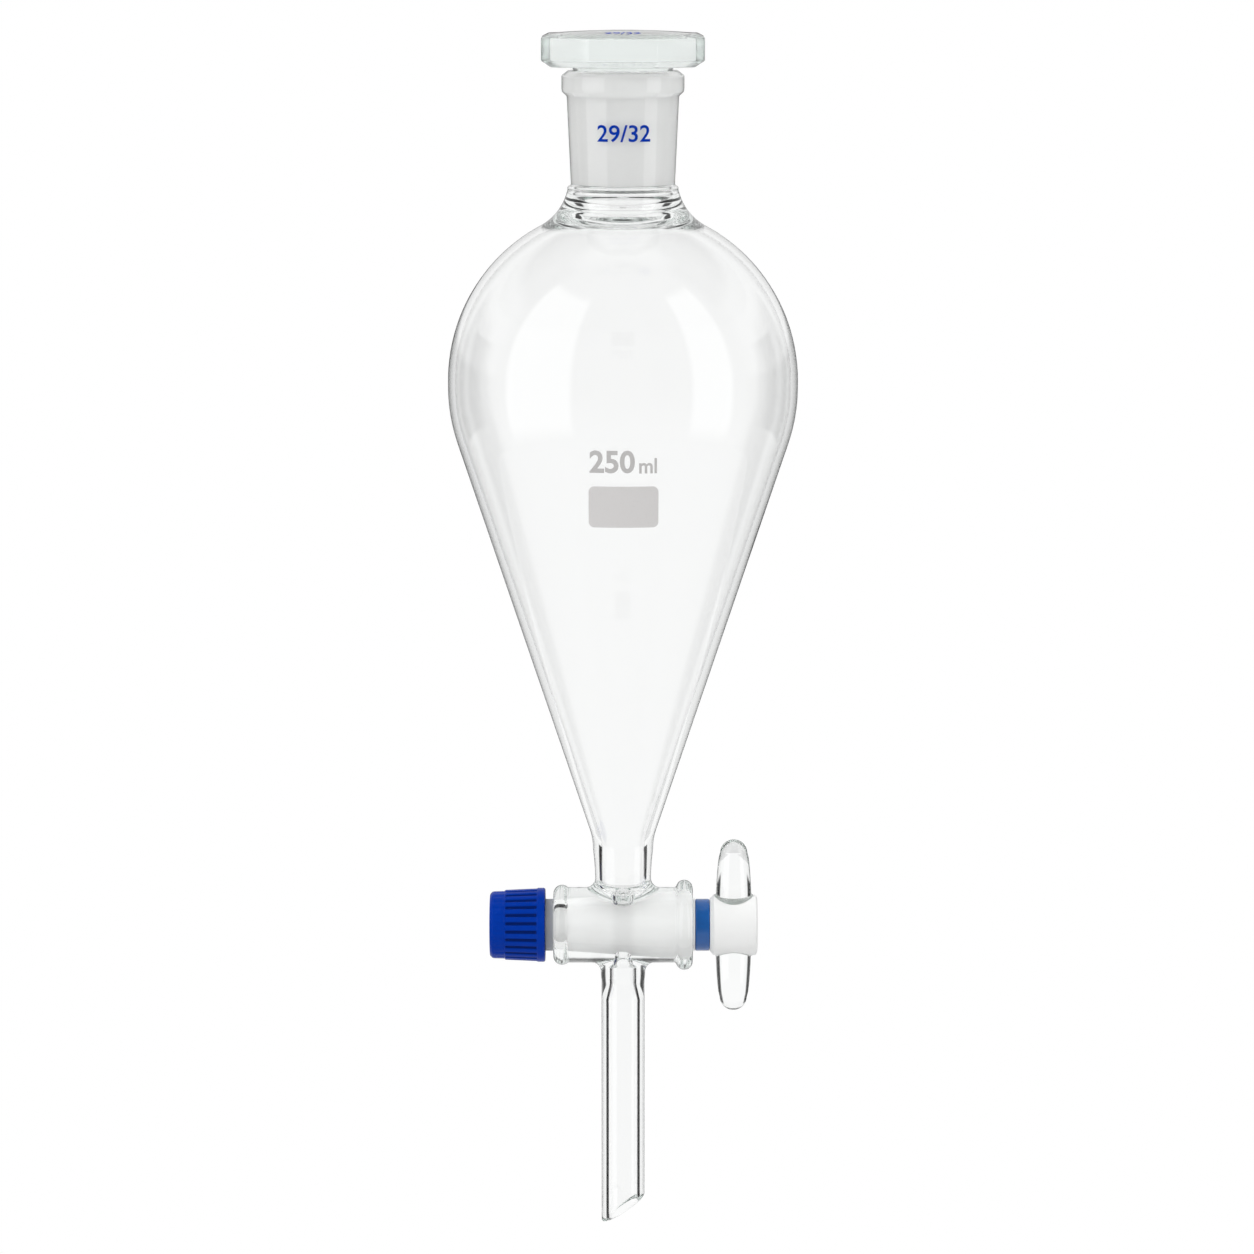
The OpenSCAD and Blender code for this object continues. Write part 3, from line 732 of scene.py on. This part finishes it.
def inkMaterial(name, colour, cover):
    m, tree, shader = emptyMaterial(name)
    marks = worn(tree, 3.0).outputs
    shader.inputs["Base Color"].default_value = (*colour, 1)
    shader.inputs["Specular IOR Level"].default_value = 0.02
    tree.links.new(ramp(tree, marks["Smudge"], 0, 1, 0.45, 0.6), shader.inputs["Roughness"])
    tree.links.new(ramp(tree, marks["Speck"], 0, 1, cover, cover * 0.75), shader.inputs["Alpha"])
    return m


# Flat letters in the plane of X and Y, in mm and stretched to their printed size
def printed(label):
    curve = bpy.data.curves.new(label["name"], "FONT")
    curve.body = label["words"]
    curve.offset = label["bold"]
    curve.resolution_u = 4
    text = bpy.data.objects.new(label["name"], curve)
    bpy.context.scene.collection.objects.link(text)
    bpy.context.view_layer.update()
    graph = bpy.context.evaluated_depsgraph_get()
    mesh = bpy.data.meshes.new_from_object(text.evaluated_get(graph))
    bpy.data.objects.remove(text)
    bm = bmesh.new()
    bm.from_mesh(mesh)
    bpy.data.meshes.remove(mesh)
    lo = [min(v.co[i] for v in bm.verts) for i in (0, 1)]
    hi = [max(v.co[i] for v in bm.verts) for i in (0, 1)]
    for v in bm.verts:
        for i in (0, 1):
            v.co[i] = ((v.co[i] - lo[i]) / (hi[i] - lo[i]) - 0.5) * label["size"][i]
    return bm


# Cuts a flat print into strips and lays it on the glass: radius(z) is the glass's radius
def laid(bm, centre, radius, step=0.8, off=0.03):
    reach = max(abs(v.co.x) for v in bm.verts)
    tall = max(abs(v.co.y) for v in bm.verts)
    for span, way in ((reach, (1, 0, 0)), (tall, (0, 1, 0))):
        n = int(span / step)
        for k in range(-n, n + 1):
            spot = Vector(way) * (k * step + 0.01)
            geom = list(bm.verts) + list(bm.edges) + list(bm.faces)
            bmesh.ops.bisect_plane(bm, geom=geom, plane_co=spot, plane_no=way)
    for v in bm.verts:
        z = centre[1] + v.co.y
        r = radius(z) + off
        t = (centre[0] + v.co.x) / r
        v.co = place(r * math.sin(t), -r * math.cos(t), z)
    return bm


def socketRadius(z):
    (r0, z0), (r1, z1) = (15.4, 224.6), (16.53, 248.9)
    return r0 + (z - z0) * (r1 - r0) / (z1 - z0)


def bulbRadius(z):
    v = vessel
    if z > v["coneZ"]:
        return math.sqrt(v["outer"] ** 2 - (min(z, v["lowZ"]) - v["lowZ"]) ** 2)
    return v["coneR"] - (v["coneZ"] - z) * math.tan(math.radians(v["lean"]))


blueInk = inkMaterial("blueInk", (0.0, 0.034, 0.38), 1.0)
greyInk = inkMaterial("greyInk", (0.5, 0.49, 0.485), 0.95)
fieldInk = inkMaterial("fieldInk", (0.62, 0.605, 0.6), 0.9)
glassPrints = [dict(name="jointPrint", words="29/32", size=(16.1, 5.0), bold=0.012,
                    centre=(0.3, 239.3), radius=socketRadius, ink=blueInk),
               dict(name="capacityPrint", words="250", size=(13.2, 6.9), bold=0.028,
                    centre=(-3.1, 146.9), radius=bulbRadius, ink=greyInk),
               dict(name="unitPrint", words="ml", size=(5.2, 4.6), bold=0.02,
                    centre=(7.3, 145.7), radius=bulbRadius, ink=greyInk)]
field = dict(half=(10.2, 6.25), corner=1.7, centre=(0.2, 133.2))
headPrint = dict(name="headPrint", words="29/32", size=(10.5, 4.2), bold=0.012, forward=15,
                 off=0.02)
inkWeld = 0.0001

for label in glassPrints:
    bm = laid(printed(label), label["centre"], label["radius"])
    finished(bm, label["name"], "glass", [label["ink"]], weld=inkWeld)

bm = bmesh.new()
wide, high = field["half"]
corners = [(-wide, high), (wide, high), (wide, -high), (-wide, -high)]
outline = rounded([(-wide, 0), *[(*c, field["corner"]) for c in corners], (-wide, 0)], 8)[:-1]
bm.faces.new([bm.verts.new((x, y, 0)) for x, y in outline])
laid(bm, field["centre"], bulbRadius)
finished(bm, "writingField", "glass", [fieldInk], weld=inkWeld)

bm = printed(headPrint)
for v in bm.verts:
    x, y = v.co.x, v.co.y - headPrint["forward"]
    drop = stopper["crown"] * (x * x + y * y) / (stopper["domed"] * stopper["half"] ** 2)
    v.co = place(x, y, stopper["headZ"] + stopper["headH"] - drop + headPrint["off"])
finished(bm, headPrint["name"], "stopper", [blueInk], weld=inkWeld)
print("stage: prints done")

scene = bpy.context.scene
scene.view_settings.view_transform = "Standard"

# The world's tones. Limits are values of a direction's Z or Y, and angles are in degrees.
# Through glass: the tone at each turn off the line from front to back, between low and high,
# and a dark ring from over to top. In reflections: the room's wall, the two windows in front
# and the wall behind. For scattered rays: the fill
studio = dict(turns=[(0, 1.0), (38, 1.0), (42, 0.2), (46, 0.0), (66, 0.0), (73, 0.9), (90, 1.0)],
              low=(-0.305, -0.285), high=(0.4, 0.25), over=(0.55, 0.68), top=(0.97, 0.88),
              ring=0.03, front=(0.1, -0.1),
              wall=(0.05, -0.45), room=0.26, below=0.7, window=2.0, left=(-83, -34),
              right=(46, 77), softOut=2, softIn=3, sill=(-0.5, -0.3), head=(0.86, 0.8),
              rear=(-0.1, 0.15), horizon=(0.0, 0.06), behind=(0.1, 0.8),
              fillZ=(-0.8, 0.6), fill=0.88, lowFill=0.5, through=2.35)


def backdropGroup():
    s = studio
    tree, ins, outs = group("backdrop",
                            [(n, "NodeSocketFloat") for n in ("Tone", "Room", "Fill")],
                            [("Direction", "NodeSocketVector", (0, 0, 0))])
    parts = node(tree, "ShaderNodeSeparateXYZ")
    tree.links.new(ins.outputs["Direction"], parts.inputs[0])
    x, y, z = parts.outputs
    turn = maths(tree, "ARCTAN2", maths(tree, "ABSOLUTE", x), maths(tree, "ABSOLUTE", y))
    tones = tree.nodes.new("ShaderNodeValToRGB")
    stops = tones.color_ramp.elements
    for i, (degrees, tone) in enumerate(s["turns"]):
        stop = stops[i] if i < 2 else stops.new(degrees / 90)
        stop.position = degrees / 90
        stop.color = (tone, tone, tone, 1)
    tree.links.new(maths(tree, "DIVIDE", turn, math.pi / 2), tones.inputs[0])
    level = maths(tree, "MULTIPLY", ramp(tree, z, *s["low"]), ramp(tree, z, *s["high"]))
    ring = maths(tree, "MULTIPLY", ramp(tree, z, *s["over"]), ramp(tree, z, *s["top"]))
    shown = mixed(tree, level, 1.0, tones.outputs["Color"], "FLOAT")
    shown = mixed(tree, ring, shown, s["ring"], "FLOAT")
    # In front of the object nothing dark shows through the glass
    shown = mixed(tree, ramp(tree, y, *s["front"]), shown, 1.0, "FLOAT")
    tree.links.new(shown, outs.inputs["Tone"])
    # Two tall soft windows in front, at the left and the right, for reflections alone
    side = maths(tree, "ARCTAN2", x, maths(tree, "MULTIPLY", y, -1.0))
    panes = []
    for start, end in (s["left"], s["right"]):
        limits = [math.radians(a) for a in (start - s["softOut"], start + s["softIn"],
                                            end + s["softOut"], end - s["softIn"])]
        panes.append(maths(tree, "MULTIPLY", ramp(tree, side, *limits[:2]),
                           ramp(tree, side, *limits[2:])))
    window = maths(tree, "ADD", *panes)
    for limits in (s["sill"], s["head"]):
        window = maths(tree, "MULTIPLY", window, ramp(tree, z, *limits))
    # The room grows lighter downwards, where it meets the floor
    wall = ramp(tree, z, *s["wall"], s["room"], s["below"])
    room = mixed(tree, window, wall, s["window"], "FLOAT")
    behind = ramp(tree, z, *s["horizon"], *s["behind"])
    tree.links.new(mixed(tree, ramp(tree, y, *s["rear"]), room, behind, "FLOAT"),
                   outs.inputs["Room"])
    # Soft light from all round, weaker from below
    tree.links.new(ramp(tree, z, *s["fillZ"], s["lowFill"] * s["fill"], s["fill"]),
                   outs.inputs["Fill"])
    return tree


def buildWorld():
    world = bpy.data.worlds.new("studioWorld")
    scene.world = world
    world.use_nodes = True
    world.cycles.sampling_method = "NONE"  # so that every ray tells the world its own kind
    tree = world.node_tree
    where = node(tree, "ShaderNodeTexCoord")
    backdrop = tree.nodes.new("ShaderNodeGroup")
    backdrop.node_tree = backdropGroup()
    tree.links.new(where.outputs["Generated"], backdrop.inputs["Direction"])
    tone, room, fill = (backdrop.outputs[n] for n in ("Tone", "Room", "Fill"))
    path = node(tree, "ShaderNodeLightPath").outputs
    # Ground glass inside clear glass gets its light through it, where the lamps' shadow rays
    # can't pass
    scattered = maths(tree, "GREATER_THAN", path["Diffuse Depth"], 0.5)
    through = maths(tree, "MULTIPLY", fill, studio["through"])
    # A ray that leaves glass counts as glossy too, so the transmission test comes after it
    strength = tone
    for ray, value in ((path["Is Glossy Ray"], room), (path["Is Transmission Ray"], tone),
                       (scattered, through), (path["Is Diffuse Ray"], fill),
                       (path["Is Camera Ray"], 1.0)):
        strength = mixed(tree, ray, strength, value, "FLOAT")
    back = tree.nodes["Background"]
    back.inputs["Color"].default_value = (1, 1, 1, 1)
    tree.links.new(strength, back.inputs["Strength"])


# From here on lengths are in metres. glow is what the camera alone sees of the floor's white
floorLook = dict(radius=1.1, z=-0.56, colour=0.72, smudged=0.7, rough=0.9, glow=0.5)


def buildFloor():
    look = floorLook
    bm = bmesh.new()
    bmesh.ops.create_circle(bm, cap_ends=True, segments=96, radius=look["radius"])
    mesh = bpy.data.meshes.new("studioFloor")
    bm.to_mesh(mesh)
    bm.free()
    floor = bpy.data.objects.new("studioFloor", mesh)
    floor.location.z = look["z"]
    scene.collection.objects.link(floor)
    m, tree, shader = emptyMaterial("floorPaint")
    paint = mixed(tree, worn(tree, 0.1).outputs["Smudge"], (*[look["colour"]] * 3, 1),
                  (*[look["smudged"]] * 3, 1))
    tree.links.new(paint, shader.inputs["Base Color"])
    shader.inputs["Roughness"].default_value = look["rough"]
    shader.inputs["Emission Color"].default_value = (1, 1, 1, 1)
    path = node(tree, "ShaderNodeLightPath")
    glow = maths(tree, "MULTIPLY", path.outputs["Is Camera Ray"], look["glow"])
    tree.links.new(glow, shader.inputs["Emission Strength"])
    mesh.materials.append(m)
    return floor


lamps = [dict(name="keyLight", spot=(-0.9, -1.0, 0.75), size=(0.5, 0.8), power=6.0),
         dict(name="fillLight", spot=(1.0, -0.9, 0.4), size=(0.4, 0.8), power=2.0),
         dict(name="topLight", spot=(0.1, 0.0, 1.3), size=(0.9, 0.9), power=9.0)]


def hungLamp(look):
    light = bpy.data.lights.new(look["name"], "AREA")
    light.shape = "RECTANGLE"
    light.size, light.size_y = look["size"]
    light.energy = look["power"]
    lamp = bpy.data.objects.new(look["name"], light)
    lamp.location = look["spot"]
    lamp.rotation_euler = (Vector() - Vector(look["spot"])).to_track_quat("-Z", "Y").to_euler()
    lamp.visible_glossy = False
    lamp.visible_transmission = False
    scene.collection.objects.link(lamp)
    return lamp


viewpoint = dict(spot=(0.0012, -1.375, 0.1852), down=8.81, lens=133.2, sensor=36, near=0.01)


def photoCamera():
    camera = bpy.data.cameras.new("photoCamera")
    camera.lens = viewpoint["lens"]
    camera.sensor_width = viewpoint["sensor"]
    camera.clip_start = viewpoint["near"]
    eye = bpy.data.objects.new("photoCamera", camera)
    eye.location = viewpoint["spot"]
    eye.rotation_euler = (math.radians(90 - viewpoint["down"]), 0, 0)
    scene.collection.objects.link(eye)
    scene.camera = eye
    return eye


buildWorld()
buildFloor()
[hungLamp(look) for look in lamps]
photoCamera()

scene.cycles.max_bounces = 32
scene.cycles.transmission_bounces = 32
scene.cycles.glossy_bounces = 24
scene.cycles.diffuse_bounces = 12
scene.cycles.transparent_max_bounces = 16
